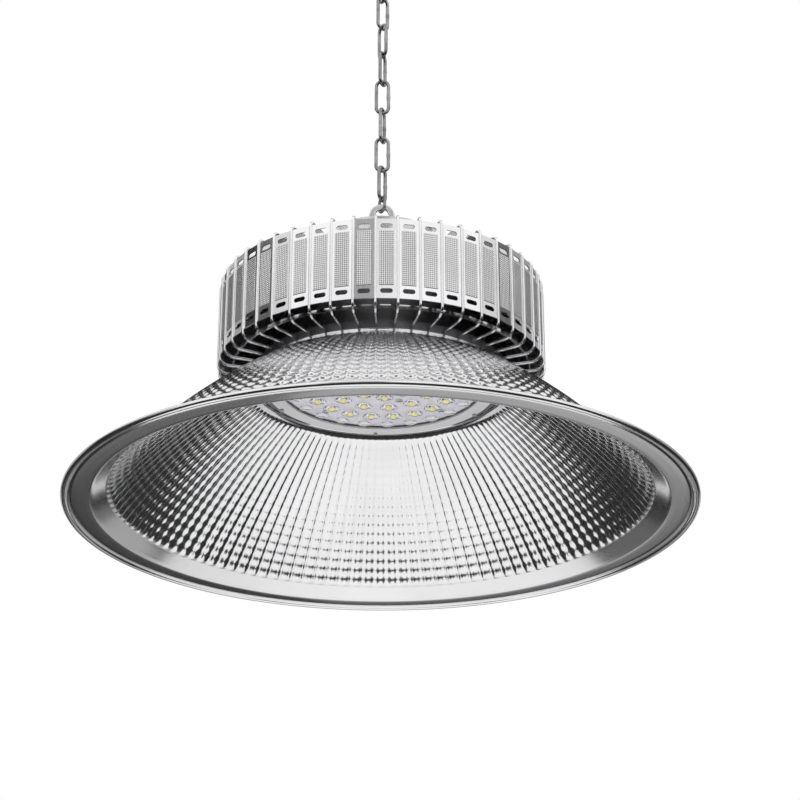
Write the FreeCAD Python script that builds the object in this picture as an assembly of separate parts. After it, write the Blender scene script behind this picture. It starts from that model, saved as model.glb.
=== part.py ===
"""High bay light hung on a steel chain.

Millimetres, +Z up.  The origin is where the ceiling hook's flange meets the
ceiling, on the hook's axis, and everything else hangs below it on that axis.
Heights inside the lamp are counted upwards from the plane of the shade's rim
and are turned into the part's frame by up().  Angles are counted from +X.
"""
import FreeCAD, Part
import math
import os
from FreeCAD import Vector

os.makedirs("parts", exist_ok=True)

# ---- ceiling hook -----------------------------------------------------------
STUD_R = 3.0
STUD_LENGTH = 25.0
HOOK_FLANGE_R = 14.0
HOOK_FLANGE_T = 3.0
HOOK_SHANK = 8.0
HOOK_WIRE_R = 2.0
HOOK_BEND_R = 8.0          # centre line of the open eye
HOOK_MOUTH_DEG = 50.0      # opening left between the eye's tip and its shank
HOOK_TURN_DEG = 38.0

# ---- chain ------------------------------------------------------------------
LINK_INNER_L = 28.8
LINK_OUTER_W = 13.4
LINK_WIRE_R = 1.5
LINK_CLEAR = 0.3           # running gap where one link hangs in the next
LINK_TURNS_DEG = [-52.0, 38.0, -56.0, 66.0, 0.0, 71.0, 0.0, 60.0]
CONNECTOR_INNER_L = 11.15
CONNECTOR_OUTER_W = 12.0
CONNECTOR_WIRE_R = 1.25
CONNECTOR_TURN_DEG = 118.0

# ---- eye bolt ---------------------------------------------------------------
EYE_OUT_R = 10.75
EYE_HOLE_R = 5.75
EYE_T = 3.0
EYE_ROUND = 1.0
EYE_RISE = 25.25           # eye's centre over the cover
EYE_COLLAR_R = 10.0
EYE_COLLAR_T = 4.0
EYE_SHANK_R = 4.0
EYE_NUT_AF = 13.0
EYE_NUT_T = 6.5
EYE_WASHER_R = 12.0
EYE_WASHER_T = 1.6
EYE_THREAD_PAST = 3.0

# ---- shade ------------------------------------------------------------------
RIM_R = 250.0
SHEET = 1.2
BEAD_R = 2.4               # rolled edge
RIM_LINE_IN = 6.6          # fine raised line, in from the edge
RIM_LINE_H = 1.0
RIM_LINE_HALF_W = 2.0
RIM_W = 22.0               # flat rim
BAND_W = 12.7              # smooth band between the rim and the pressed side
BAND_H = 9.3
SIDE_H = 94.2
SIDE_BULGE = 5.5
FLUTES = 126
FLUTE_DEPTH = 1.5          # by the band; less by the neck, in step with the radius
FLUTE_END = 4.5            # length over which a flute runs out
SIDE_TIERS = 3             # straight lengths that follow the side's bulge
SIDE_JOIN = 0.1            # ledge where the pressed side meets its round neighbours
COLLAR_RISE = 4.5
COLLAR_LEAN = 5.3          # neck over collar, in radius
COLLAR_GAP = 3.0           # collar over the heat sink's base, in radius
FLANGE_W = 10.5            # inner flange, which the screws hold
FLANGE_TO_RING = 1.5       # flange's inner edge to the lens ring
SHADE_SLOTS = 3
SHADE_SLOT_EDGE = 2.0      # metal left each side of an arc slot
SHADE_SLOT_HALF_DEG = 24.0
SHADE_SLOT_FIRST_DEG = 30.0
SHADE_SCREWS = 3
SHADE_SCREW_FIRST_DEG = 101.0

# ---- heat sink --------------------------------------------------------------
BASE_T = 8.0
CORE_IN_R = 78.0
CORE_WALL = 6.0
CORE_WALL_H = 69.0
FINS = 48
FIN_T = 1.4
FIN_OUT_R = 132.8
FIN_FOOT_GAP = 1.0         # base to the fin's foot
FIN_FOOT_LIFT = 2.3        # lower edge above the underside of the base
FIN_H = 82.1
FIN_LOW_CORNER_R = 8.5
FIN_TOP_CORNER_R = 5.0
FIN_FIRST_DEG = -92.1
FIN_PROUD = 1.3            # fin's edge over the face of its folded panel
PANEL_T = 0.8
PANEL_LIFT = 9.9
PANEL_H = 67.9
PANEL_SIDE_GAP = 0.3
PANEL_ROOT = 0.02          # how far a panel is sunk in its own fin
SLOT_L = 9.5
SLOT_H = 3.9
SLOT_EDGE = 4.3            # from the panel's edge to the slot
TAB_IN = 12.1              # small bent spacers, in from the fins' outer edge
TAB_T = 0.8
TAB_H = 3.0
TAB_LIFT = 7.0

# ---- light source -----------------------------------------------------------
BOARD_T = 1.6
BOARD_EDGE = 2.0           # board to gasket
CHIP_SIDE = 3.5
CHIP_T = 0.8
LED_RING_R = [0.0, 20.0, 40.0, 59.0]
LED_RING_COUNT = [1, 7, 12, 20]
LED_RING_FIRST_DEG = [0.0, 82.5, 81.0, 80.0]
BLANK_EDGE = 5.5           # outermost lenses, over bare board, in from its edge
BLANKS = 24
BLANK_FIRST_DEG = 86.0
BOARD_SCREW_R = [29.5, 67.5]
BOARD_SCREW_COUNT = [3, 4]
BOARD_SCREW_FIRST_DEG = [60.0, 43.0]
LENS_PLATE_R = 90.0
LENS_PLATE_T = 2.0
LENS_CLEAR = 0.4           # board to lens plate
LENS_R = 7.2
LENS_H = 2.6
LENS_BLANK_R = 5.6
LENS_BLANK_H = 1.56
LENS_POCKET_R = 3.2
LENS_POCKET_DEPTH = 0.9
GASKET_EDGE = 2.5          # gasket to the plate's edge
GASKET_W = 5.0
RING_LIP_W = 8.0
RING_LIP_T = 1.5
RING_FIT = 0.3
RING_WALL = 3.7
RING_CHAMFER = 0.8
RING_SCREWS = 6
RING_SCREW_FIRST_DEG = 33.0

# ---- driver and cover -------------------------------------------------------
COVER_FLANGE_T = 3.0
COVER_WALL = 2.5
COVER_STEP = 1.5           # foot of the dome inside the core's bore
COVER_TOP_R = 42.0
COVER_H = 48.8             # over its flange
COVER_ROUND = 9.0
COVER_SCREWS = 6
COVER_SCREW_FIRST_DEG = 60.0
PAD_T = 2.0
DRIVER_L = 118.0
DRIVER_W = 72.0
DRIVER_H = 44.0
DRIVER_CORNER = 4.0
STRAP_W = 22.0
STRAP_T = 1.5
STRAP_FOOT = 14.0
LEAD_R = 2.5
LEAD_BEND_R = 8.0
LEAD_X = 40.0
LEAD_OUT = 16.0            # how far it stands off the driver's side
GROMMET_R = 5.5
GROMMET_WALL = 2.0
GROMMET_LIP = 1.5
GLAND_EDGE = 15.0          # gland's axis to the edge of the cover's flat top
GLAND_THREAD_R = 8.0
GLAND_HOLE_R = 4.5
GLAND_HEX_AF = 22.0
GLAND_HEX_T = 6.0
GLAND_NUT_T = 12.0
GLAND_NUT_ROUND = 3.0
GLAND_NECK_T = 6.0
GLAND_LOCKNUT_T = 4.0
GLAND_SEAL_T = 1.5
GLAND_THREAD_PAST = 2.0

# ---- screws -----------------------------------------------------------------
SCREW_R = 2.0
SCREW_HEAD_T = 2.0
SMALL_SCREW_R = 1.5
SMALL_HEAD_R = 2.4
SMALL_HEAD_T = 1.0
RING_HEAD_R = 1.7
SCREW_FIT = 0.05
SCREW_GRIP = 5.0
SCREW_TIP_GAP = 0.5
CUT_PAST = 1.0             # how far a cutting tool reaches past the metal

# ---- places worked out from the sizes above ----------------------------------
hook_wire_z = -(HOOK_FLANGE_T + HOOK_SHANK + 2 * HOOK_BEND_R)
link_pitch = LINK_INNER_L - LINK_CLEAR
first_link_z = hook_wire_z + HOOK_WIRE_R + LINK_CLEAR - LINK_INNER_L / 2
last_link_z = first_link_z - (len(LINK_TURNS_DEG) - 1) * link_pitch
connector_top = last_link_z - LINK_INNER_L / 2 + LINK_CLEAR
connector_z = connector_top - CONNECTOR_INNER_L / 2
eye_z = connector_top - CONNECTOR_INNER_L + LINK_CLEAR - EYE_HOLE_R

rim_flat_r = RIM_R - RIM_W
band_r = rim_flat_r - BAND_W
ring_bore_r = LENS_PLATE_R + RING_FIT
ring_out_r = ring_bore_r + RING_WALL
ring_screw_r = ring_bore_r + RING_WALL / 2
flange_in_r = ring_out_r + FLANGE_TO_RING
collar_r = flange_in_r + FLANGE_W
base_r = collar_r - COLLAR_GAP
neck_r = collar_r + COLLAR_LEAN
neck_h = BAND_H + SIDE_H
flange_low = neck_h + COLLAR_RISE
side_length = math.hypot(band_r - neck_r, SIDE_H)

base_low = flange_low + SHEET
base_top = base_low + BASE_T
core_r = CORE_IN_R + CORE_WALL
core_top = base_top + CORE_WALL_H
cover_flange_top = core_top + COVER_FLANGE_T
cover_top = cover_flange_top + COVER_H
fin_low = base_low + FIN_FOOT_LIFT
fin_foot_r = base_r + FIN_FOOT_GAP
panel_r = FIN_OUT_R - FIN_PROUD
tab_r = FIN_OUT_R - TAB_IN

gasket_out_r = LENS_PLATE_R - GASKET_EDGE
gasket_in_r = gasket_out_r - GASKET_W
board_r = gasket_in_r - BOARD_EDGE
slot_in_r = flange_in_r + SHADE_SLOT_EDGE
slot_out_r = collar_r - SHADE_SLOT_EDGE
shade_screw_r = (slot_in_r + slot_out_r) / 2
board_low = base_low - BOARD_T
lens_top = board_low - LENS_CLEAR
lens_low = lens_top - LENS_PLATE_T
ring_low = lens_low - RING_LIP_T

driver_low = base_top + PAD_T
driver_top = driver_low + DRIVER_H
lead_y = DRIVER_W / 2 + LEAD_OUT
gland_y = COVER_TOP_R - GLAND_EDGE
rim_z = eye_z - (cover_top + EYE_RISE)


def up(height):
    """Height over the rim plane, in the part's frame."""
    return rim_z + height


def polar(radius, degrees, height):
    """Point of the lamp at a radius, an angle and a height over the rim."""
    a = math.radians(degrees)
    return Vector(radius * math.cos(a), radius * math.sin(a), up(height))


def spaced(count, first):
    """Angles of count places spread evenly round the axis."""
    return [first + 360.0 * k / count for k in range(count)]


def save(name, shape):
    shape.exportStep("parts/" + name + ".step")


def disc(r_out, low, high, r_in=0.0, at=Vector(0, 0, 0)):
    """Flat ring or disc of the lamp between two heights."""
    base = Vector(at.x, at.y, up(low))
    body = Part.makeCylinder(r_out, high - low, base)
    if r_in > 0:
        body = body.cut(Part.makeCylinder(r_in, high - low, base))
    return body


def turned(points):
    """Solid turned round the axis from (radius, height) corner points."""
    loop = [Vector(r, 0, up(h)) for r, h in points]
    face = Part.Face(Part.makePolygon(loop + loop[:1]))
    return face.revolve(Vector(0, 0, 0), Vector(0, 0, 1), 360)


def hexagon(across_flats, low, high, at=Vector(0, 0, 0)):
    corner_r = across_flats / math.sqrt(3)
    loop = []
    for k in range(7):
        a = math.radians(60.0 * k)
        loop.append(Vector(at.x + corner_r * math.cos(a), at.y + corner_r * math.sin(a), up(low)))
    return Part.Face(Part.makePolygon(loop)).extrude(Vector(0, 0, high - low))


def group(solids):
    """Several separate solids kept in one node."""
    return Part.makeCompound(solids)


def screw(radius, head_radius, head_t, length, seat, direction):
    """Pan-head screw whose head sits on the point seat, shank along direction."""
    shank = Part.makeCylinder(radius, length, seat, direction)
    head = Part.makeCylinder(head_radius, head_t, seat - direction * head_t, direction)
    head = head.makeFillet(head_t * 0.45, [outer_edge(head, seat - direction * head_t)])
    return shank.fuse(head).removeSplitter()


def outer_edge(solid, point):
    """The round edge whose centre lies at a point."""
    for edge in solid.Edges:
        if hasattr(edge.Curve, "Center") and edge.Curve.Center.distanceToPoint(point) < 1e-6:
            return edge
    raise ValueError("no round edge at the point")


# ---- ceiling hook and chain ---------------------------------------------------
def wire_section(centre, tangent, radius):
    return Part.Wire(Part.makeCircle(radius, centre, tangent))


def ceiling_hook():
    """Flange and stud with an open eye bent from one wire."""
    eye_centre = Vector(0, 0, hook_wire_z + HOOK_BEND_R)
    turn = math.radians(HOOK_TURN_DEG)
    side = Vector(math.cos(turn), math.sin(turn), 0)

    def on_eye(degrees):
        a = math.radians(degrees)
        return eye_centre + side * (HOOK_BEND_R * math.sin(a)) + Vector(0, 0, HOOK_BEND_R * math.cos(a))

    shank_top = Vector(0, 0, -HOOK_FLANGE_T)
    last = 360.0 - HOOK_MOUTH_DEG
    path = Part.Wire([Part.Arc(on_eye(0), on_eye(last / 2), on_eye(last)).toShape()])
    eye = path.makePipe(Part.Face(wire_section(on_eye(0), side, HOOK_WIRE_R)))
    tip = Part.makeSphere(HOOK_WIRE_R, on_eye(last))
    shank = Part.makeCylinder(HOOK_WIRE_R, shank_top.z - on_eye(0).z, on_eye(0))
    knee = Part.makeSphere(HOOK_WIRE_R, on_eye(0))
    flange = Part.makeCylinder(HOOK_FLANGE_R, HOOK_FLANGE_T, shank_top)
    stud = Part.makeCylinder(STUD_R, STUD_LENGTH, Vector(0, 0, 0))
    return eye.fuse([tip, knee, shank, flange, stud]).removeSplitter()


def link(centre_z, turn_deg, inner_length, outer_width, wire_r):
    """Welded oval link of round wire, standing upright in a turned plane."""
    bend_r = outer_width / 2 - wire_r
    half = inner_length / 2 - (bend_r - wire_r)
    ring = Part.makeTorus(bend_r, wire_r, Vector(0, 0, 0), Vector(0, 1, 0))
    reach = bend_r + 2 * wire_r
    box = Part.makeBox(2 * reach, 2 * reach, reach, Vector(-reach, -reach, 0))
    upper = ring.common(box)
    upper.translate(Vector(0, 0, half))
    lower = ring.common(box.translated(Vector(0, 0, -reach)))
    lower.translate(Vector(0, 0, -half))
    legs = [Part.makeCylinder(wire_r, 2 * half, Vector(s * bend_r, 0, -half)) for s in (-1, 1)]
    solid = upper.fuse([lower] + legs).removeSplitter()
    solid.rotate(Vector(0, 0, 0), Vector(0, 0, 1), turn_deg)
    solid.translate(Vector(0, 0, centre_z))
    return solid


def eye_bolt():
    """Flat forged eye, collar and threaded shank in one piece."""
    face = Vector(0, -EYE_T / 2, eye_z)
    ring = Part.makeCylinder(EYE_OUT_R, EYE_T, face, Vector(0, 1, 0))
    ring = ring.cut(Part.makeCylinder(EYE_HOLE_R, EYE_T, face, Vector(0, 1, 0)))
    ring = ring.makeFillet(EYE_ROUND, [e for e in ring.Edges if hasattr(e.Curve, "Radius")])
    neck_top = cover_top + EYE_RISE - (EYE_OUT_R + EYE_HOLE_R) / 2
    neck = disc(EYE_SHANK_R, cover_top, neck_top)
    collar = disc(EYE_COLLAR_R, cover_top, cover_top + EYE_COLLAR_T)
    shank_low = cover_top - COVER_WALL - EYE_WASHER_T - EYE_NUT_T - EYE_THREAD_PAST
    shank = disc(EYE_SHANK_R, shank_low, cover_top)
    return ring.fuse([neck, collar, shank]).removeSplitter()


def eye_washer():
    top = cover_top - COVER_WALL
    return disc(EYE_WASHER_R, top - EYE_WASHER_T, top, EYE_SHANK_R + SCREW_FIT)


def eye_nut():
    top = cover_top - COVER_WALL - EYE_WASHER_T
    bore = disc(EYE_SHANK_R + SCREW_FIT, top - EYE_NUT_T, top)
    return hexagon(EYE_NUT_AF, top - EYE_NUT_T, top).cut(bore)


# ---- shade --------------------------------------------------------------------
def side_point(along):
    """Radius and height of the side's top face at a share of the way up, pushed out by the bulge."""
    push = SIDE_BULGE * 4 * along * (1 - along)
    return (band_r + (neck_r - band_r) * along + push * SIDE_H / side_length,
            BAND_H + SIDE_H * along + push * (band_r - neck_r) / side_length)


def level_width(run, rise):
    """Width of the sheet, measured level, where it leans by this run and rise."""
    return SHEET * math.hypot(run, rise) / abs(rise)


def side_width(along):
    """Level width of the sheet at a share of the way up the side."""
    step = FLUTE_END / side_length
    r1, h1 = side_point(max(along - step, 0.0))
    r2, h2 = side_point(min(along + step, 1.0))
    return level_width(r2 - r1, h2 - h1)


def flute_ring(along, depth_share, inner):
    """Ring of points at one height of the side, every second one pressed in.

    The press goes in by a share of the radius, so that the flat facets of one flute stay flat.
    """
    radius, height = side_point(along)
    radius -= side_width(along) if inner else SIDE_JOIN
    pressed = radius * (1 - depth_share * FLUTE_DEPTH / band_r)
    half_flute = 180.0 / FLUTES
    return [polar(pressed if k % 2 else radius, k * half_flute, height) for k in range(2 * FLUTES)]


def facets(lower, upper, flat):
    """Facets between two rings: quads where they are flat, or else two triangles each."""
    faces = []
    count = len(lower)
    for k in range(count):
        a, b = lower[k], lower[(k + 1) % count]
        c, d = upper[(k + 1) % count], upper[k]
        loops = [[a, b, c, d]] if flat else [[a, b, c], [a, c, d]] if k % 2 else [[a, b, d], [b, c, d]]
        faces += [Part.Face(Part.makePolygon(loop + loop[:1])) for loop in loops]
    return faces


def pressed_side():
    """The side's sheet, folded into flutes that run out before the band and the neck."""
    run_out = FLUTE_END / side_length
    stops = [0.0]
    stops += [run_out + (1 - 2 * run_out) * k / SIDE_TIERS for k in range(SIDE_TIERS + 1)]
    stops.append(1.0)
    faces = []
    ends = []
    for inner in (False, True):
        rings = [flute_ring(along, 0.0 if along in (0.0, 1.0) else 1.0, inner) for along in stops]
        for number, (lower, upper) in enumerate(zip(rings, rings[1:])):
            faces += facets(lower, upper, 0 < number <= SIDE_TIERS)
        ends.append((rings[0], rings[-1]))
    for outside, inside in zip(*ends):
        whole, hole = [Part.Face(Part.makePolygon(ring + ring[:1])) for ring in (outside, inside)]
        faces += whole.cut(hole).Faces
    shell = Part.makeCompound(faces)
    shell.sewShape()
    solid = Part.Solid(Part.Shell(shell.Faces))
    if solid.Volume < 0:
        solid.reverse()
    return solid


def rim_and_band():
    """Flat rim with its fine raised line, and the smooth band up to the pressed side."""
    line_r = RIM_R - RIM_LINE_IN
    slope = math.atan2(BAND_H, BAND_W)
    top = [(RIM_R - BEAD_R, 0.0), (line_r + RIM_LINE_HALF_W, 0.0), (line_r, RIM_LINE_H),
           (line_r - RIM_LINE_HALF_W, 0.0), (rim_flat_r, 0.0), (band_r, BAND_H)]
    under = [(RIM_R - BEAD_R, -SHEET), (line_r + RIM_LINE_HALF_W, -SHEET), (line_r, RIM_LINE_H - SHEET),
             (line_r - RIM_LINE_HALF_W, -SHEET), (rim_flat_r - SHEET * math.tan(slope / 2), -SHEET),
             (band_r - level_width(BAND_W, BAND_H), BAND_H)]
    return turned(top + under[::-1])


def rolled_edge():
    centre = Vector(RIM_R - BEAD_R, 0, up(-SHEET / 2))
    bead = Part.Face(Part.Wire(Part.makeCircle(BEAD_R, centre, Vector(0, 1, 0))))
    return bead.revolve(Vector(0, 0, 0), Vector(0, 0, 1), 360)


def collar_and_flange():
    """Collar over the neck, and the flange that is screwed under the heat sink."""
    rise = base_low - neck_h
    width = level_width(COLLAR_LEAN, rise)
    points = [(neck_r, neck_h), (collar_r, base_low), (flange_in_r, base_low),
              (flange_in_r, flange_low), (collar_r - width + SHEET * COLLAR_LEAN / rise, flange_low),
              (neck_r - width, neck_h)]
    return turned(points)


def shade_flange_cuts():
    """Arc slots and screw holes of the neck flange, through both its faces."""
    low, high = flange_low - CUT_PAST, base_low + CUT_PAST
    cuts = []
    for middle in spaced(SHADE_SLOTS, SHADE_SLOT_FIRST_DEG):
        ring = disc(slot_out_r, low, high, slot_in_r)
        reach = 2 * slot_out_r
        corners = [Vector(0, 0, up(low))]
        for a in (-SHADE_SLOT_HALF_DEG, SHADE_SLOT_HALF_DEG):
            corners.append(polar(reach, middle + a, low))
        wedge = Part.Face(Part.makePolygon(corners + corners[:1])).extrude(Vector(0, 0, high - low))
        cuts.append(ring.common(wedge))
    for a in spaced(SHADE_SCREWS, SHADE_SCREW_FIRST_DEG):
        cuts.append(disc(SCREW_R + SCREW_FIT, low, high, at=polar(shade_screw_r, a, 0)))
    return cuts


def shade():
    """One pressed sheet: rolled edge, flat rim, smooth band, fluted side, collar and flange."""
    body = rim_and_band().fuse([rolled_edge(), pressed_side(), collar_and_flange()])
    return body.cut(shade_flange_cuts())


def shade_screws():
    seats = [polar(shade_screw_r, a, flange_low) for a in spaced(SHADE_SCREWS, SHADE_SCREW_FIRST_DEG)]
    upward = Vector(0, 0, 1)
    return group([screw(SCREW_R, SMALL_HEAD_R, SMALL_HEAD_T, SHEET + SCREW_GRIP - SCREW_TIP_GAP, s, upward)
                  for s in seats])


# ---- heat sink ----------------------------------------------------------------
def base_screw_holes():
    """Blind holes in the underside of the base, for every screw that goes up into it."""
    holes = []
    for a in spaced(SHADE_SCREWS, SHADE_SCREW_FIRST_DEG):
        at = polar(shade_screw_r, a, 0)
        holes.append(disc(SCREW_R + SCREW_FIT, base_low, base_low + SCREW_GRIP, at=at))
    for a in spaced(RING_SCREWS, RING_SCREW_FIRST_DEG):
        at = polar(ring_screw_r, a, 0)
        holes.append(disc(SMALL_SCREW_R + SCREW_FIT, base_low, base_low + SCREW_GRIP, at=at))
    for at in board_screw_places():
        holes.append(disc(SMALL_SCREW_R + SCREW_FIT, base_low, base_low + SCREW_GRIP, at=at))
    return holes


def strap_seats():
    """Where the driver strap's two screws go, each side of the driver."""
    reach = DRIVER_W / 2 + STRAP_T + STRAP_FOOT / 2
    return [(0.0, -reach), (0.0, reach)]


def heatsink_core():
    """Base that carries the light source, with the wall that the fins stand on."""
    body = disc(base_r, base_low, base_top)
    body = body.fuse(disc(core_r, base_top, core_top, CORE_IN_R)).removeSplitter()
    cuts = base_screw_holes()
    cuts.append(disc(GROMMET_R, base_low, base_top, at=Vector(LEAD_X, lead_y, 0)))
    wall_middle = CORE_IN_R + CORE_WALL / 2
    for a in spaced(COVER_SCREWS, COVER_SCREW_FIRST_DEG):
        at = polar(wall_middle, a, 0)
        cuts.append(disc(SMALL_SCREW_R + SCREW_FIT, core_top - 2 * SCREW_GRIP, core_top, at=at))
    for x, y in strap_seats():
        cuts.append(disc(SMALL_SCREW_R + SCREW_FIT, base_top - SCREW_GRIP, base_top, at=Vector(x, y, 0)))
    return body.cut(cuts)


def fin_plate():
    """Radial sheet in the XZ plane: notched over the base, round at its outer corners."""
    top = fin_low + FIN_H
    low_r, top_r = FIN_LOW_CORNER_R, FIN_TOP_CORNER_R
    diagonal = math.sqrt(0.5)

    def at(r, h):
        return Vector(r, -FIN_T / 2, up(h))

    low_arc = Part.Arc(at(FIN_OUT_R - low_r, fin_low),
                       at(FIN_OUT_R - low_r * (1 - diagonal), fin_low + low_r * (1 - diagonal)),
                       at(FIN_OUT_R, fin_low + low_r)).toShape()
    top_arc = Part.Arc(at(FIN_OUT_R, top - top_r),
                       at(FIN_OUT_R - top_r * (1 - diagonal), top - top_r * (1 - diagonal)),
                       at(FIN_OUT_R - top_r, top)).toShape()
    before = [at(core_r, base_top), at(fin_foot_r, base_top), at(fin_foot_r, fin_low),
              at(FIN_OUT_R - low_r, fin_low)]
    after = [at(FIN_OUT_R - top_r, top), at(core_r, top), at(core_r, base_top)]
    edges = Part.makePolygon(before).Edges + [low_arc]
    edges.append(Part.makeLine(at(FIN_OUT_R, fin_low + low_r), at(FIN_OUT_R, top - top_r)))
    edges += [top_arc] + Part.makePolygon(after).Edges
    return Part.Face(Part.Wire(edges)).extrude(Vector(0, FIN_T, 0))


def slot_cut(middle_z, x_face, y_middle):
    """Long hole with cut corners through a folded edge."""
    half, rise = SLOT_L / 2, SLOT_H / 2
    cut = rise * 0.6
    loop = [(-half, -rise + cut), (-half + cut, -rise), (half - cut, -rise), (half, -rise + cut),
            (half, rise - cut), (half - cut, rise), (-half + cut, rise), (-half, rise - cut)]
    points = [Vector(x_face - 2 * PANEL_T, y_middle + y, up(middle_z + z)) for y, z in loop]
    return Part.Face(Part.makePolygon(points + points[:1])).extrude(Vector(4 * PANEL_T, 0, 0))


def fin_panel():
    """The fin's folded outer edge, which closes the gap to the next fin, with its two slots."""
    pitch = 360.0 / FINS
    chord = 2 * panel_r * math.tan(math.radians(pitch / 2))
    width = chord - FIN_T / math.cos(math.radians(pitch / 2)) - PANEL_SIDE_GAP
    low = fin_low + PANEL_LIFT
    sheet = Part.makeBox(PANEL_T, width, PANEL_H, Vector(panel_r - PANEL_T, -width / 2, up(low)))
    inset = SLOT_EDGE + SLOT_H / 2
    for h in (low + inset, low + PANEL_H - inset):
        sheet = sheet.cut(slot_cut(h, panel_r - PANEL_T, 0.0))
    shift = PANEL_SIDE_GAP / 2 + PANEL_ROOT
    sheet.translate(Vector(0, -shift, 0))
    tab_low = fin_low + TAB_LIFT
    tab_chord = 2 * tab_r * math.tan(math.radians(pitch / 2))
    tab_w = tab_chord - FIN_T - PANEL_SIDE_GAP
    tab = Part.makeBox(TAB_T, tab_w, TAB_H, Vector(tab_r - TAB_T, -tab_w / 2 - shift, up(tab_low)))
    both = [sheet, tab]
    for piece in both:
        piece.rotate(Vector(0, 0, 0), Vector(0, 0, 1), pitch / 2)
    return both


def fins():
    """Ring of folded sheet fins, each one a solid of its own."""
    one = fin_plate().fuse(fin_panel()).removeSplitter()
    ring = []
    for a in spaced(FINS, FIN_FIRST_DEG):
        ring.append(one.rotated(Vector(0, 0, 0), Vector(0, 0, 1), a))
    return group(ring)


# ---- light source -------------------------------------------------------------
def led_places():
    rings = zip(LED_RING_R, LED_RING_COUNT, LED_RING_FIRST_DEG)
    return [polar(r, a, 0) for r, count, first in rings for a in spaced(count, first)]


def blank_places():
    return [polar(board_r - BLANK_EDGE, a, 0) for a in spaced(BLANKS, BLANK_FIRST_DEG)]


def board_screw_places():
    rings = zip(BOARD_SCREW_R, BOARD_SCREW_COUNT, BOARD_SCREW_FIRST_DEG)
    return [polar(r, a, board_low) for r, count, first in rings for a in spaced(count, first)]


def led_board():
    cuts = [disc(SMALL_SCREW_R + SCREW_FIT, board_low, base_low, at=p) for p in board_screw_places()]
    cuts.append(disc(LEAD_R + SCREW_FIT, board_low, base_low, at=Vector(LEAD_X, lead_y, 0)))
    return disc(board_r, board_low, base_low).cut(cuts)


def led_chips():
    half = CHIP_SIDE / 2
    chips = []
    for p in led_places():
        corner = Vector(p.x - half, p.y - half, up(board_low - CHIP_T))
        chips.append(Part.makeBox(CHIP_SIDE, CHIP_SIDE, CHIP_T, corner))
    return group(chips)


def board_screws():
    length = BOARD_T + SCREW_GRIP - SCREW_TIP_GAP
    return group([screw(SMALL_SCREW_R, SMALL_HEAD_R, SMALL_HEAD_T, length, p, Vector(0, 0, 1))
                  for p in board_screw_places()])


def dome(at, radius, height):
    """Shallow lens cap hanging under the plate."""
    ball_r = (radius ** 2 + height ** 2) / (2 * height)
    ball = Part.makeSphere(ball_r, Vector(at.x, at.y, up(lens_low) + ball_r - height))
    return ball.common(disc(radius, lens_low - height - CUT_PAST, lens_low, at=at))


def lens_plate():
    """Clear moulded plate with a lens over every light source."""
    body = disc(LENS_PLATE_R, lens_low, lens_top)
    body = body.fuse([dome(p, LENS_R, LENS_H) for p in led_places()])
    body = body.fuse([dome(p, LENS_BLANK_R, LENS_BLANK_H) for p in blank_places()])
    pockets = [disc(LENS_POCKET_R, lens_top - LENS_POCKET_DEPTH, lens_top, at=p) for p in led_places()]
    pockets += [disc(LENS_POCKET_R, lens_top - LENS_POCKET_DEPTH, lens_top, at=p)
                for p in board_screw_places()]
    return body.cut(pockets)


def lens_gasket():
    return disc(gasket_out_r, lens_top, base_low, gasket_in_r)


def lens_ring():
    """Turned ring that clamps the lens plate to the base."""
    lip_r = LENS_PLATE_R - RING_LIP_W
    points = [(lip_r, ring_low), (ring_out_r - RING_CHAMFER, ring_low),
              (ring_out_r, ring_low + RING_CHAMFER), (ring_out_r, base_low),
              (ring_bore_r, base_low), (ring_bore_r, lens_low), (lip_r, lens_low)]
    holes = [disc(SMALL_SCREW_R + SCREW_FIT, ring_low, base_low, at=polar(ring_screw_r, a, 0))
             for a in spaced(RING_SCREWS, RING_SCREW_FIRST_DEG)]
    return turned(points).cut(holes)


def lens_ring_screws():
    length = base_low - ring_low + SCREW_GRIP - SCREW_TIP_GAP
    seats = [polar(ring_screw_r, a, ring_low) for a in spaced(RING_SCREWS, RING_SCREW_FIRST_DEG)]
    return group([screw(SMALL_SCREW_R, RING_HEAD_R, SMALL_HEAD_T, length, s, Vector(0, 0, 1))
                  for s in seats])


# ---- driver and cover ---------------------------------------------------------
def gland_hole(low, high, radius=GLAND_THREAD_R + SCREW_FIT):
    return disc(radius, low, high, at=Vector(0, gland_y, 0))


def top_cover():
    """Spun housing over the driver, with a flat crown for the eye bolt and the gland."""
    top = cover_top
    rise_r = CORE_IN_R - COVER_STEP
    outer = [(core_r, core_top), (core_r, cover_flange_top), (rise_r, cover_flange_top),
             (rise_r, cover_flange_top + COVER_ROUND), (COVER_TOP_R + COVER_ROUND, top - COVER_ROUND / 4),
             (COVER_TOP_R, top), (0, top)]
    inner = [(0, top - COVER_WALL), (COVER_TOP_R - COVER_WALL / 2, top - COVER_WALL),
             (COVER_TOP_R + COVER_ROUND - COVER_WALL, top - COVER_ROUND / 4 - COVER_WALL),
             (rise_r - COVER_WALL, cover_flange_top + COVER_ROUND - COVER_WALL / 2),
             (rise_r - COVER_WALL, core_top)]
    body = turned(outer + inner)
    cuts = [disc(EYE_SHANK_R + SCREW_FIT, top - COVER_WALL, top), gland_hole(top - COVER_WALL, top)]
    for a in spaced(COVER_SCREWS, COVER_SCREW_FIRST_DEG):
        at = polar(CORE_IN_R + CORE_WALL / 2, a, 0)
        cuts.append(disc(SMALL_SCREW_R + SCREW_FIT, core_top, cover_flange_top, at=at))
    return body.cut(cuts)


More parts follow.
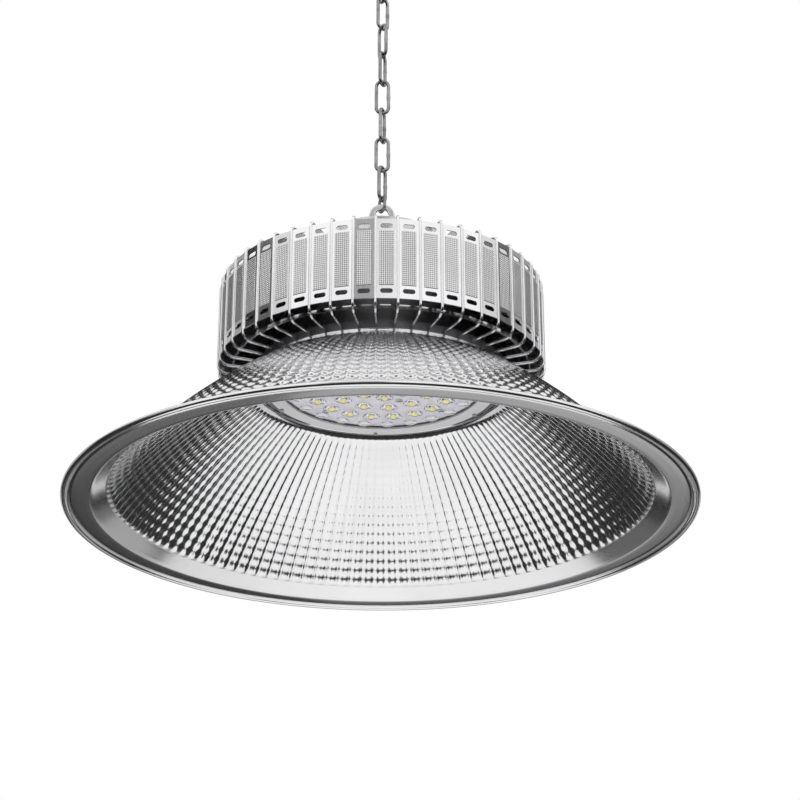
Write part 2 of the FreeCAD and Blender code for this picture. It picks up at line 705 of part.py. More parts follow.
def cover_screws():
    seats = [polar(CORE_IN_R + CORE_WALL / 2, a, cover_flange_top)
             for a in spaced(COVER_SCREWS, COVER_SCREW_FIRST_DEG)]
    length = COVER_FLANGE_T + 2 * (SCREW_GRIP - SCREW_TIP_GAP)
    return group([screw(SMALL_SCREW_R, SMALL_HEAD_R, SCREW_HEAD_T, length, s, Vector(0, 0, -1))
                  for s in seats])


def driver_pad():
    half_l, half_w = DRIVER_L / 2, DRIVER_W / 2
    return Part.makeBox(DRIVER_L, DRIVER_W, PAD_T, Vector(-half_l, -half_w, up(base_top)))


def driver():
    """Sealed power supply."""
    half_l, half_w = DRIVER_L / 2, DRIVER_W / 2
    box = Part.makeBox(DRIVER_L, DRIVER_W, DRIVER_H, Vector(-half_l, -half_w, up(driver_low)))
    upright = [e for e in box.Edges if abs(e.Vertexes[0].Z - e.Vertexes[1].Z) > DRIVER_H / 2]
    return box.makeFillet(DRIVER_CORNER, upright)


def driver_strap():
    """Bent steel strap over the driver, with a foot on each side."""
    half = DRIVER_W / 2
    t = STRAP_T
    low, high = base_top, driver_top
    loop = [(-half - t - STRAP_FOOT, low), (-half, low), (-half, high), (half, high), (half, low),
            (half + t + STRAP_FOOT, low), (half + t + STRAP_FOOT, low + t), (half + t, low + t),
            (half + t, high + t), (-half - t, high + t), (-half - t, low + t),
            (-half - t - STRAP_FOOT, low + t)]
    points = [Vector(-STRAP_W / 2, y, up(z)) for y, z in loop]
    body = Part.Face(Part.makePolygon(points + points[:1])).extrude(Vector(STRAP_W, 0, 0))
    holes = [disc(SMALL_SCREW_R + SCREW_FIT, low, low + t, at=Vector(x, y, 0)) for x, y in strap_seats()]
    return body.cut(holes)


def strap_screws():
    length = STRAP_T + SCREW_GRIP - SCREW_TIP_GAP
    return group([screw(SMALL_SCREW_R, SMALL_HEAD_R, SCREW_HEAD_T, length,
                        Vector(x, y, up(base_top + STRAP_T)), Vector(0, 0, -1))
                  for x, y in strap_seats()])


def driver_lead():
    """Lead from the driver's long side down through the base to the board."""
    high = driver_low + DRIVER_H / 2
    bend = LEAD_BEND_R
    diagonal = math.sqrt(0.5)
    a = Vector(LEAD_X, DRIVER_W / 2, up(high))
    b = Vector(LEAD_X, lead_y - bend, up(high))
    m = Vector(LEAD_X, lead_y - bend * (1 - diagonal), up(high - bend * (1 - diagonal)))
    c = Vector(LEAD_X, lead_y, up(high - bend))
    d = Vector(LEAD_X, lead_y, up(board_low))
    path = Part.Wire([Part.makeLine(a, b), Part.Arc(b, m, c).toShape(), Part.makeLine(c, d)])
    return path.makePipe(Part.Face(wire_section(a, Vector(0, 1, 0), LEAD_R)))


def lead_grommet():
    """Rubber bush where the lead goes through the base."""
    at = Vector(LEAD_X, lead_y, 0)
    body = disc(GROMMET_R, base_low, base_top, at=at)
    body = body.fuse(disc(GROMMET_R + GROMMET_WALL, base_top, base_top + GROMMET_LIP, at=at))
    return body.cut(disc(LEAD_R, base_low, base_top + GROMMET_LIP, at=at)).removeSplitter()


def gland_levels():
    seat = cover_top
    hex_low = seat + GLAND_SEAL_T
    hex_top = hex_low + GLAND_HEX_T
    return seat, hex_low, hex_top


def gland_seal():
    seat, hex_low, _ = gland_levels()
    at = Vector(0, gland_y, 0)
    return disc(GLAND_HEX_AF / 2, seat, hex_low, GLAND_THREAD_R, at=at)


def gland_body():
    """Hexagon, threaded spigot through the cover, and the neck that the nut screws on."""
    seat, hex_low, hex_top = gland_levels()
    at = Vector(0, gland_y, 0)
    spigot_low = seat - COVER_WALL - GLAND_LOCKNUT_T - GLAND_THREAD_PAST
    body = hexagon(GLAND_HEX_AF, hex_low, hex_top, at)
    body = body.fuse([disc(GLAND_THREAD_R, spigot_low, hex_low, at=at),
                      disc(GLAND_THREAD_R, hex_top, hex_top + GLAND_NECK_T, at=at)])
    return body.cut(gland_hole(spigot_low, hex_top + GLAND_NECK_T, GLAND_HOLE_R)).removeSplitter()


def gland_nut():
    """Domed nut that squeezes the seal round the cord."""
    _, _, hex_top = gland_levels()
    at = Vector(0, gland_y, 0)
    top = hex_top + GLAND_NUT_T
    body = hexagon(GLAND_HEX_AF, hex_top, top, at)
    round_r = GLAND_HEX_AF / 2 - GLAND_NUT_ROUND / 2
    crown = Part.makeCone(GLAND_HEX_AF * 0.75, round_r, GLAND_NUT_T, Vector(0, gland_y, up(hex_top)))
    body = body.common(crown)
    inside = disc(GLAND_THREAD_R + SCREW_FIT, hex_top, hex_top + GLAND_NECK_T, at=at)
    return body.cut([inside, gland_hole(hex_top, top, GLAND_HOLE_R)])


def gland_locknut():
    seat, _, _ = gland_levels()
    top = seat - COVER_WALL
    at = Vector(0, gland_y, 0)
    body = hexagon(GLAND_HEX_AF, top - GLAND_LOCKNUT_T, top, at)
    return body.cut(gland_hole(top - GLAND_LOCKNUT_T, top))


save("ceiling_hook", ceiling_hook())
for number, turn_deg in enumerate(LINK_TURNS_DEG, start=1):
    centre_z = first_link_z - (number - 1) * link_pitch
    save("chain_link_%d" % number, link(centre_z, turn_deg, LINK_INNER_L, LINK_OUTER_W, LINK_WIRE_R))
save("connecting_link", link(connector_z, CONNECTOR_TURN_DEG, CONNECTOR_INNER_L, CONNECTOR_OUTER_W,
                             CONNECTOR_WIRE_R))

pieces = [eye_bolt, eye_washer, eye_nut, shade, shade_screws, heatsink_core, fins, led_board, led_chips,
          board_screws, lens_plate, lens_gasket, lens_ring, lens_ring_screws, top_cover, cover_screws,
          driver_pad, driver, driver_strap, strap_screws, driver_lead, lead_grommet, gland_seal,
          gland_body, gland_nut, gland_locknut]
for piece in pieces:
    save(piece.__name__, piece())
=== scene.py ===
# %% [markdown]
# # A high bay light on its chain
#
# An industrial light hangs on a short steel chain.  A wide aluminium shade, pressed into a grid of
# small cushions, throws the light down.  Over it stands a ring of sheet fins that cools the source,
# and a clear plate with a lens over each chip closes the shade's neck.  The CAD frame gives every
# piece its size and place.  This lesson gives the thin, bright and pressed surfaces the detail that
# plain solids leave out.

# %% The frame
import math

import bmesh
import bpy
import numpy as np
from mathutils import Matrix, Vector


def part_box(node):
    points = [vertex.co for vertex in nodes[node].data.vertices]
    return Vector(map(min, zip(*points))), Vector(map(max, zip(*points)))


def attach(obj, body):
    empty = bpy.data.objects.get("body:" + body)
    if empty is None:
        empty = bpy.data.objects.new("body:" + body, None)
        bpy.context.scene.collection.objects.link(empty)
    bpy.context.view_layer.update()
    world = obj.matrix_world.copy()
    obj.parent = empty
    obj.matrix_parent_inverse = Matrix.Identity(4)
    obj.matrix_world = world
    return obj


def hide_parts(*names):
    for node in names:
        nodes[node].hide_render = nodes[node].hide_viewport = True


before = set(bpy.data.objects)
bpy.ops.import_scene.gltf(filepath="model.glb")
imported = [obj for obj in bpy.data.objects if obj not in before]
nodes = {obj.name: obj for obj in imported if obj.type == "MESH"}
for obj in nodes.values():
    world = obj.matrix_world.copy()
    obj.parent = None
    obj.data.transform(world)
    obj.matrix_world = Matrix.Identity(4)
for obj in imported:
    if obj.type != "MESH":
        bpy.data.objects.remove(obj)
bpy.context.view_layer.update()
MM = 0.001

# %% [markdown]
# ## Sizes
#
# The shade's rolled edge is the lowest and widest thing on the light, so its box gives the rim's
# plane and radius.  Other sizes are the sheet's own and are written once, here, in metres.

# %% Sizes read from the frame
shade_low, shade_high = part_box("shade")
RIM_R = shade_high.x
SHEET = 1.2 * MM
BEAD_R = 2.4 * MM
RIM_Z = shade_low.z + BEAD_R + SHEET / 2
print("rim radius", round(RIM_R, 4), "rim height", round(RIM_Z, 4))

# %% [markdown]
# ## One way to make a surface
#
# Every new piece is a grid: a sheet of points with rows one way and columns the other.  One helper
# turns such an array into a mesh.  The rows and columns can run round, so a tube or a ring closes
# without a seam.  Points that meet in one place are joined, so a pole is one point.

# %% Helper: a mesh from a grid of points
JOIN_WITHIN = 0.001 * MM


def grid_faces(rows, cols, close_rows=False, close_cols=False):
    """Corner numbers of the quads of a rows x cols grid, with wrapped edges where asked."""
    i = np.arange(rows if close_rows else rows - 1)
    j = np.arange(cols if close_cols else cols - 1)
    i, j = np.meshgrid(i, j, indexing="ij")
    i2, j2 = (i + 1) % rows, (j + 1) % cols
    return np.stack([i * cols + j, i * cols + j2, i2 * cols + j2, i2 * cols + j], axis=-1)


def mesh_piece(name, points, faces, body, groove=None):
    """Smooth mesh object from arrays of points and quads, riding on a CAD body.

    groove, where it is given, is one number for each point and is kept as an attribute.
    """
    mesh = bpy.data.meshes.new(name)
    mesh.vertices.add(len(points))
    mesh.vertices.foreach_set("co", np.asarray(points, np.float32).ravel())
    count = len(faces)
    mesh.loops.add(count * 4)
    mesh.loops.foreach_set("vertex_index", np.asarray(faces, np.int32).ravel())
    mesh.polygons.add(count)
    mesh.polygons.foreach_set("loop_start", np.arange(count, dtype=np.int32) * 4)
    mesh.polygons.foreach_set("use_smooth", np.full(count, True))
    mesh.update(calc_edges=True)
    if groove is not None:
        shares = mesh.attributes.new("groove", "FLOAT", "POINT")
        shares.data.foreach_set("value", groove.astype(np.float32))
    work = bmesh.new()
    work.from_mesh(mesh)
    bmesh.ops.remove_doubles(work, verts=work.verts, dist=JOIN_WITHIN)
    work.to_mesh(mesh)
    work.free()
    piece = bpy.data.objects.new(name, mesh)
    bpy.context.scene.collection.objects.link(piece)
    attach(piece, body)
    print(name, "has", len(mesh.loops) - 2 * len(mesh.polygons), "triangles")
    return piece


# %% [markdown]
# ## The shade's section
#
# The shade is one sheet of aluminium.  From inside to outside it has a flange that is screwed under
# the heat sink, a collar, the long pressed side, a smooth band, a flat rim with a fine raised line,
# and a rolled edge.  The section is a line of corner points for the top face, with a few points
# within a millimetre or two of each corner, because sheet never bends sharply.  The under face is
# the same line pushed square to itself by the thickness of the sheet.

# %% The section as a line of points
RIM_LINE_R = RIM_R - 6.6 * MM
RIM_FLAT_R = RIM_R - 22.0 * MM
BAND_R, BAND_H = RIM_R - 34.7 * MM, 9.3 * MM
NECK_R, NECK_H = 111.3 * MM, 103.5 * MM
COLLAR_R, COLLAR_H = 106.0 * MM, 109.2 * MM
FLANGE_R, SLOT_IN_R, SLOT_OUT_R = 95.5 * MM, 97.5 * MM, 104.0 * MM
SLOT_MIDDLES_DEG = (30, 150, 270)
SLOT_HALF_DEG = 24.0
LINE_HALF_W, LINE_H, LINE_POINTS = 2.2 * MM, 0.9 * MM, 7
SIDE_BULGE = 5.5 * MM
COLUMNS = 126
ROWS = 16
ACROSS = 4          # quads across one cushion
ALONG = 4           # quads along one cushion


def run(start, end, count):
    """Evenly spaced points from start up to, and without, end."""
    t = np.linspace(0.0, 1.0, count, endpoint=False)[:, None]
    return np.array(start) * (1 - t) + np.array(end) * t


def bulged_run(start, end, bulge, count):
    """A straight run pushed out square to itself by a parabola: bulge x 4 t (1 - t)."""
    start, end = np.array(start), np.array(end)
    t = np.linspace(0.0, 1.0, count + 1)[:, None]
    way = end - start
    square = np.array([way[1], -way[0]]) / np.hypot(*way)
    return start * (1 - t) + end * t + square * (bulge * 4 * t * (1 - t))


def neck_line():
    """Flange, collar and neck as (radius, height) rows, from the flange's inner edge outwards."""
    return np.vstack([
        [(FLANGE_R, COLLAR_H), (SLOT_IN_R, COLLAR_H), (SLOT_OUT_R, COLLAR_H)],
        run((COLLAR_R - 0.8 * MM, COLLAR_H), (COLLAR_R, COLLAR_H - 0.5 * MM), 2),
        run((COLLAR_R + 0.3 * MM, COLLAR_H - 1.0 * MM), (COLLAR_R + 2.0 * MM, NECK_H + 1.0 * MM), 2),
        [(COLLAR_R + 2.0 * MM, NECK_H + 1.0 * MM)],
    ])


def rim_line():
    """Band and flat rim as rows; the raised line is a hump: height = LINE_H cos^2 (t pi / 2)."""
    t = np.linspace(-1.0, 1.0, LINE_POINTS)[:, None]
    return np.vstack([
        [(BAND_R + 0.5 * MM, BAND_H - 0.35 * MM)],
        run((BAND_R + 1.2 * MM, BAND_H - 0.9 * MM), (RIM_FLAT_R - 0.6 * MM, 0.4 * MM), 5),
        run((RIM_FLAT_R - 0.4 * MM, 0.2 * MM), (RIM_FLAT_R, 0.0), 2),
        run((RIM_FLAT_R + 0.4 * MM, 0.0), (RIM_LINE_R - 2.4 * MM, 0.0), 3),
        np.hstack([RIM_LINE_R + t * LINE_HALF_W, LINE_H * np.cos(t * math.pi / 2) ** 2]),
    ])


side_line = bulged_run((BAND_R, BAND_H), (NECK_R, NECK_H), SIDE_BULGE, ROWS * ALONG)[::-1]
top_line = np.vstack([neck_line(), side_line, rim_line()])
first_side = len(neck_line())
along_line = np.gradient(top_line, axis=0)
square = np.stack([along_line[:, 1], -along_line[:, 0]], axis=1)
square /= np.linalg.norm(along_line, axis=1)[:, None]
under_line = top_line + square * SHEET
print("section rows", len(top_line))

# %% [markdown]
# ## The shade's cushions
#
# A press has struck the side into a grid of shallow cushions, many columns round and some rows up.
# The metal between two columns keeps its place and the middle of each cushion is pushed inwards.
# The push is a smooth hump, and its depth follows the cushion's width, so the small ones by the neck
# are the shallowest.  The relief is real geometry, because these cushions break up every reflection
# that the shade shows.

# %% The push that makes a cushion
PUSH_FOR_WIDTH = 0.16
EXTRA_BY_NECK = 0.4
POWER_ACROSS, POWER_ALONG = 2.2, 4
PUSH_BETWEEN_ROWS = 0.62


def cushion_push(columns_along, rows_along, width):
    """Depth of the push: 0 on the lines between columns, deepest in the middle of each cushion.

    Across and along, the share is 1 - |2t - 1|^power, which is flat in the middle and falls at the
    edges.  Along, it falls only to the share that is left between rows.  The rows are counted from
    the neck, and the cushions there are deeper for their width than those by the band.
    """
    across = 1 - np.abs(2 * (columns_along % 1.0) - 1) ** POWER_ACROSS
    along = 1 - np.abs(2 * (rows_along % 1.0) - 1) ** POWER_ALONG
    along = PUSH_BETWEEN_ROWS + (1 - PUSH_BETWEEN_ROWS) * along
    to_neck = 1 - rows_along / ROWS
    return PUSH_FOR_WIDTH * (1 + EXTRA_BY_NECK * to_neck) * width * across * along


# %% [markdown]
# ## The shade as one closed sheet
#
# The section is turned round the axis.  Because the sheet is thin, both its faces take the same
# push, and the outside shows the same grid hollowed out.  At the rim the two faces are joined by the
# rolled edge, which is most of a circle, and at the flange they meet in a plain cut edge.

# %% Both faces and the rolled edge
BEAD_TURN = math.radians(150)
BEAD_POINTS = 13


def shade_points(line, normal):
    """Turn the section round the axis and push the side's rows inwards along their own square."""
    turns = COLUMNS * ACROSS
    angle = np.arange(turns) * (2 * math.pi / turns)
    row = np.arange(len(line)) - first_side
    on_side = (row >= 0) & (row <= ROWS * ALONG)
    width = 2 * math.pi * line[:, 0] / COLUMNS
    columns_along = np.arange(turns)[None, :] / ACROSS
    push = cushion_push(columns_along, row[:, None] / ALONG, width[:, None]) * on_side[:, None]
    radius = line[:, :1] + normal[:, :1] * push
    height = line[:, 1:] + normal[:, 1:] * push
    return np.stack([radius * np.cos(angle), radius * np.sin(angle), RIM_Z + height], axis=-1)


bead_turn = np.linspace(BEAD_TURN, -BEAD_TURN, BEAD_POINTS)[:, None]
bead_centre = np.array([RIM_R - BEAD_R, -SHEET / 2])
bead_line = bead_centre + BEAD_R * np.hstack([np.cos(bead_turn), np.sin(bead_turn)])
flat = np.zeros_like(bead_line)
shade_grid = np.concatenate([
    shade_points(top_line, square),
    shade_points(bead_line, flat),
    shade_points(under_line, square)[::-1],
])
rows, turns = shade_grid.shape[:2]
shade_faces = grid_faces(rows, turns, close_rows=True, close_cols=True)[..., ::-1]
print("grid of", rows, "rows and", turns, "turns, its faces turned round to point outwards")

# %% [markdown]
# ## The slots in the flange
#
# Three arc slots are cut in the flange, between the lens ring and the collar.  The sheet's grid
# already has a row along each edge of a slot, so a slot is made by leaving faces out and walling the
# opening round.  No cutting tool is needed, and the mesh stays clean.

# %% The slots, and the finished shade


def open_slots(faces, rows, turns):
    """Take out the faces of the arc slots from both skins and wall each opening round.

    A slot lies between section rows 1 and 2 of each skin.  Its walls join the two skins' edges:
    two long ones, one along each row, and two short ones at its ends.
    """
    keep = np.ones(faces.shape[:2], bool)
    walls = []
    other = rows - 1
    for middle in SLOT_MIDDLES_DEG:
        ends = np.round((middle + np.array([-1, 1]) * SLOT_HALF_DEG) * turns / 360).astype(int)
        cols = np.arange(*ends)
        keep[1, cols % turns] = False
        keep[other - 2, cols % turns] = False
        here, there = cols % turns, (cols + 1) % turns
        for row, flip in ((1, True), (2, False)):
            quad = [row * turns + here, row * turns + there,
                    (other - row) * turns + there, (other - row) * turns + here]
            walls.append(np.stack(quad[::-1] if flip else quad, axis=-1))
        for col, flip in ((ends[0] % turns, False), (ends[1] % turns, True)):
            quad = [row * turns + col for row in (1, 2, other - 2, other - 1)]
            walls.append(np.array([quad[::-1] if flip else quad]))
    return np.concatenate([faces[keep]] + walls)


shade_faces = open_slots(shade_faces, rows, turns)
shade = mesh_piece("shade_sheet", shade_grid.reshape(-1, 3), shade_faces.reshape(-1, 4), "lamp")
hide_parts("shade")

# %% [markdown]
# ## The pressed grid on the fins' panels
#
# Each fin's outer edge is folded into a panel that closes the gap to its neighbour.  Between the two
# long slots the sheet is pressed into a fine grid, less than two millimetres from dimple to dimple.
# A bump in the material would vanish at the silhouette and in the exported mesh, so each panel gets
# a thin skin with real relief: three steps to a dimple, one low and two high.

# %% The panels' grid
FINS = 48
FIN_PITCH = 2 * math.pi / FINS
FIN_FIRST = math.radians(-92.1)
PANEL_FACE_R = 131.5 * MM
PANEL_SHIFT = -0.17 * MM
FIELD_W = 11.4 * MM
FIELD_LOW, FIELD_HIGH = 132.2 * MM, 179.4 * MM
DIMPLES_ACROSS, DIMPLES_UP = 7, 28
DIMPLE_DEPTH = 0.5 * MM
STEPS = 3                               # grid steps to a dimple
SKIN_PROUD, EDGE_SUNK, BACK_SUNK = 0.05 * MM, 0.1 * MM, 0.25 * MM


def turned_copies(points, faces, angles):
    """The same points turned about the upright axis by each angle, with their faces counted on."""
    c, s = np.cos(angles)[:, None], np.sin(angles)[:, None]
    x, y, z = points[:, 0], points[:, 1], points[:, 2]
    many = np.stack([x * c - y * s, x * s + y * c, np.broadcast_to(z, (len(angles), len(z)))], axis=-1)
    shift = np.arange(len(angles))[:, None, None] * len(points)
    return many.reshape(-1, 3), (faces[None] + shift).reshape(-1, 4)


def dimpled_skin():
    """One skin and its groove share: low on every third line, where the share is 1, and high between.

    One more column behind it, and a last row drawn together at each end, close it to a flat bag.
    """
    across = DIMPLES_ACROSS * STEPS + 1
    up = DIMPLES_UP * STEPS + 1
    u, v = np.meshgrid(np.arange(across), np.arange(up), indexing="xy")
    high = ((u % STEPS != 0) & (v % STEPS != 0)).astype(float)
    edge = (u == 0) | (u == across - 1) | (v == 0) | (v == up - 1)
    x = PANEL_FACE_R + SKIN_PROUD + DIMPLE_DEPTH * high - EDGE_SUNK * edge
    y = PANEL_SHIFT + FIELD_W * (u / (across - 1) - 0.5)
    z = RIM_Z + FIELD_LOW + (FIELD_HIGH - FIELD_LOW) * v / (up - 1)
    front = np.stack([x, y, z], axis=-1)
    back_r = PANEL_FACE_R - BACK_SUNK
    behind = np.stack([np.full(up, back_r), np.full(up, PANEL_SHIFT), z[:, 0]], axis=-1)
    skin = np.concatenate([front, behind[:, None]], axis=1)
    first = np.broadcast_to(behind[0], skin[:1].shape)
    last = np.broadcast_to(behind[-1], skin[:1].shape)
    groove = np.ones(skin.shape[:2])
    groove[:, :across] = 1 - high
    return np.concatenate([first, skin, last]), np.pad(groove, ((1, 1), (0, 0)), constant_values=1.0)


skin, groove = dimpled_skin()
skin_faces = grid_faces(*skin.shape[:2], close_cols=True).reshape(-1, 4)
panel_angles = FIN_FIRST + FIN_PITCH * (np.arange(FINS) + 0.5)
points, faces = turned_copies(skin.reshape(-1, 3), skin_faces, panel_angles)
panel_grids = mesh_piece("panel_grids", points, faces, "lamp", np.tile(groove.ravel(), FINS))

# %% [markdown]
# ## The fins' hems
#
# The free edge of every fin is rolled over to a round hem, which is what catches the light between
# the panels and under the ring.  The hem is a small round section carried along the fin's edge: out
# under the fin, round its lower corner, up, round the upper corner and a little way in.

# %% The hems
HEM_R = 1.05 * MM
FIN_EDGE_R = 132.8 * MM
FIN_LOW, FIN_TOP = 111.5 * MM, 193.6 * MM
FIN_FOOT_R = 104.0 * MM
CORNER_LOW, CORNER_TOP = 8.5 * MM, 5.0 * MM
HEM_INSET = 0.75 * MM
HEM_SIDES = 10


def corner(centre, radius, start_deg, end_deg, count):
    """Arc of (radius, height) points about a corner's centre."""
    a = np.radians(np.linspace(start_deg, end_deg, count))[:, None]
    return np.array(centre) + radius * np.hstack([np.cos(a), np.sin(a)])


def tube(path, radius, sides, close=False):
    """Round section carried along a path of 3-D points: centre + radius (cos a * across + sin a * over).

    across and over stand square to the path.  An open tube's ends are drawn together, so it is closed.
    """
    ahead = np.roll(path, -1, 0) - np.roll(path, 1, 0)
    if not close:
        ahead[0], ahead[-1] = path[1] - path[0], path[-1] - path[-2]
    ahead /= np.linalg.norm(ahead, axis=1)[:, None]
    # The path lies in one plane, and two chords of it give the plane's own square.
    flat = np.cross(path[len(path) // 3] - path[0], path[-len(path) // 4] - path[0])
    across = np.broadcast_to(flat / np.linalg.norm(flat), path.shape)
    over = np.cross(ahead, across)
    a = np.linspace(0, 2 * math.pi, sides, endpoint=False)
    r = np.broadcast_to(radius, len(path))[:, None, None]
    ring = path[:, None] + r * (np.cos(a)[:, None] * across[:, None] + np.sin(a)[:, None] * over[:, None])
    if not close:
        ring = np.concatenate([np.broadcast_to(path[0], ring[:1].shape), ring,
                               np.broadcast_to(path[-1], ring[:1].shape)])
    return ring


def hem_path():
    """Centre line of a hem as (radius, height), set in from the fin's own edge."""
    edge, low, top = FIN_EDGE_R - HEM_INSET, FIN_LOW + HEM_INSET, FIN_TOP - HEM_INSET
    r_low, r_top = CORNER_LOW - HEM_INSET, CORNER_TOP - HEM_INSET
    return np.vstack([
        run((FIN_FOOT_R + 0.5 * MM, low), (edge - r_low, low), 4),
        corner((edge - r_low, low + r_low), r_low, -90, 0, 9),
        corner((edge - r_top, top - r_top), r_top, 0, 90, 7),
        [(FIN_FOOT_R, top)],
    ])


line = hem_path()
hem = tube(np.stack([line[:, 0], np.zeros(len(line)), RIM_Z + line[:, 1]], axis=-1), HEM_R, HEM_SIDES)
hem_faces = grid_faces(*hem.shape[:2], close_cols=True).reshape(-1, 4)
fin_angles = FIN_FIRST + FIN_PITCH * np.arange(FINS)
hems = mesh_piece("fin_hems", *turned_copies(hem.reshape(-1, 3), hem_faces, fin_angles), "lamp")

# %% [markdown]
# ## The chain
#
# A link is a length of zinc plated wire bent to an oval and welded shut in the middle of one leg,
# where the weld leaves a small swelling.  The path is two half circles joined by straight legs, and
# a round section runs along it, a little thicker at the weld.  Each link stands where its CAD link
# stands, turned about the upright axis.

# %% The links
LINK_WIRE_R, LINK_INNER_L, LINK_OUTER_W = 1.5 * MM, 28.8 * MM, 13.4 * MM
LINK_TURNS_DEG = (-52, 38, -56, 66, 0, 71, 0, 60)
JOINER_WIRE_R, JOINER_INNER_L, JOINER_OUTER_W, JOINER_TURN_DEG = 1.25 * MM, 11.15 * MM, 12.0 * MM, 118
WELD_SWELL, WELD_REACH = 0.16, 1.3      # shares of the wire's radius
BEND_STEPS, LEG_STEPS, WIRE_SIDES = 14, 12, 14


def oval_path(half_leg, bend_r, bend_steps, leg_steps):
    """Closed oval in the XZ plane: up one leg, over the bend, down the other, under the bend."""
    leg = np.linspace(-half_leg, half_leg, leg_steps, endpoint=False)
    bend = np.linspace(0, math.pi, bend_steps, endpoint=False)
    x = np.concatenate([np.full(leg_steps, bend_r), bend_r * np.cos(bend),
                        np.full(leg_steps, -bend_r), -bend_r * np.cos(bend)])
    z = np.concatenate([leg, half_leg + bend_r * np.sin(bend), -leg, -half_leg - bend_r * np.sin(bend)])
    return np.stack([x, np.zeros_like(x), z], axis=-1)


def oval_link(name, node, body, inner_l, outer_w, wire_r, turn_deg, swell):
    """Link of round wire about its CAD node's middle, thicker at the weld.

    Round the weld, the wire's radius r is multiplied by 1 + swell e^-(z / (WELD_REACH r))^2.
    """
    low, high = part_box(node)
    bend_r = outer_w / 2 - wire_r
    path = oval_path(inner_l / 2 - (bend_r - wire_r), bend_r, BEND_STEPS, LEG_STEPS)
    weld = np.exp(-(path[:, 2] / (WELD_REACH * wire_r)) ** 2) * (path[:, 0] > 0)
    ring = tube(path, wire_r * (1 + swell * weld), WIRE_SIDES, close=True).reshape(-1, 3)
    a = math.radians(turn_deg)
    points = np.stack([ring[:, 0] * math.cos(a) - ring[:, 1] * math.sin(a),
                       ring[:, 0] * math.sin(a) + ring[:, 1] * math.cos(a),
                       ring[:, 2] + (low.z + high.z) / 2], axis=-1)
    faces = grid_faces(len(path), WIRE_SIDES, close_rows=True, close_cols=True).reshape(-1, 4)
    piece = mesh_piece(name, points, faces, body)
    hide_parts(node)
    return piece


links = [oval_link("wire_link_%d" % (k + 1), "chain_link_%d" % (k + 1), "link_%d" % (k + 1),
                   LINK_INNER_L, LINK_OUTER_W, LINK_WIRE_R, turn, WELD_SWELL)
         for k, turn in enumerate(LINK_TURNS_DEG)]
links.append(oval_link("wire_joiner", "connecting_link", "connector",
                       JOINER_INNER_L, JOINER_OUTER_W, JOINER_WIRE_R, JOINER_TURN_DEG, 0.0))

# %% [markdown]
# ## The light-emitting chips
#
# Each chip is a white ceramic package with yellow phosphor under a bead of resin, and the bead
# reaches up into its lens, so that no air gap throws the light back.  The CAD packages stay.  A
# yellow bead is set on each one, as a dome of rings whose height falls with the square of the
# radius, and every bead goes into one mesh.

# %% The phosphor caps
LED_RINGS = ((0.0, 1, 0.0), (20.0, 7, 82.5), (40.0, 12, 81.0), (59.0, 20, 80.0))
CHIP_FACE_Z = RIM_Z + 106.8 * MM
CAP_R, CAP_H = 3.0 * MM, 2.3 * MM
CAP_BACK = 0.05 * MM                    # how far its flat back is sunk in the chip


def ring_places(rings):
    """Centres (x, y) on rings given as (radius in mm, how many, first angle in degrees)."""
    places = []
    for radius, count, first in rings:
        a = np.radians(first + 360.0 / count * np.arange(count))
        places.append(radius * MM * np.stack([np.cos(a), np.sin(a)], axis=-1))
    return np.concatenate(places)


def cap(radius, height, low, rings=5, sides=16):
    """Cap hanging down: depth = height (1 - (r / radius)^2), closed by a flat back."""
    r = np.concatenate([[0.0], np.linspace(radius, 0, rings)])
    depth = np.concatenate([[-CAP_BACK], height * (1 - (r[1:] / radius) ** 2)])
    a = np.linspace(0, 2 * math.pi, sides, endpoint=False)
    x, y = r[:, None] * np.cos(a), r[:, None] * np.sin(a)
    return np.stack([x, y, np.broadcast_to((low - depth)[:, None], x.shape)], axis=-1)


def placed_copies(points, faces, places):
    """The same points shifted to each (x, y) place."""
    shift = np.concatenate([places, np.zeros((len(places), 1))], axis=1)[:, None]
    count = np.arange(len(places))[:, None, None] * len(points)
    return (points[None] + shift).reshape(-1, 3), (faces[None] + count).reshape(-1, 4)


one_cap = cap(CAP_R, CAP_H, CHIP_FACE_Z)
cap_faces = grid_faces(*one_cap.shape[:2], close_cols=True).reshape(-1, 4)[:, ::-1]
phosphor_caps = mesh_piece("phosphor_caps", *placed_copies(one_cap.reshape(-1, 3), cap_faces,
                                                           ring_places(LED_RINGS)), "lamp")

# %% [markdown]
# ## Finishes
#
# Nearly everything here is metal, and metal is told apart by how rough it is and how its colour
# drifts.  One helper builds such a finish: a noise at the metal's own grain moves the roughness, a
# slower noise moves the colour, and a little of the fine one goes into the bump.  All of it reads
# Object coordinates, so the pattern stays on the piece.

# %% Helper: a finish with grain
ROUGH_SHARE = 0.25
GRAIN_DEPTH = 0.05 * MM
NOISE_LOW, NOISE_HIGH = 0.3, 0.7        # the noise seldom leaves this range
RAMP_LOW, RAMP_HIGH = 0.35, 0.65


def add_node(tree, kind, operation=None, **values):
    """New node in a tree, with its operation and the values of its named sockets."""
    node = tree.nodes.new(kind)
    if operation:
        node.operation = operation
    for key, value in values.items():
        node.inputs[key].default_value = value
    return node


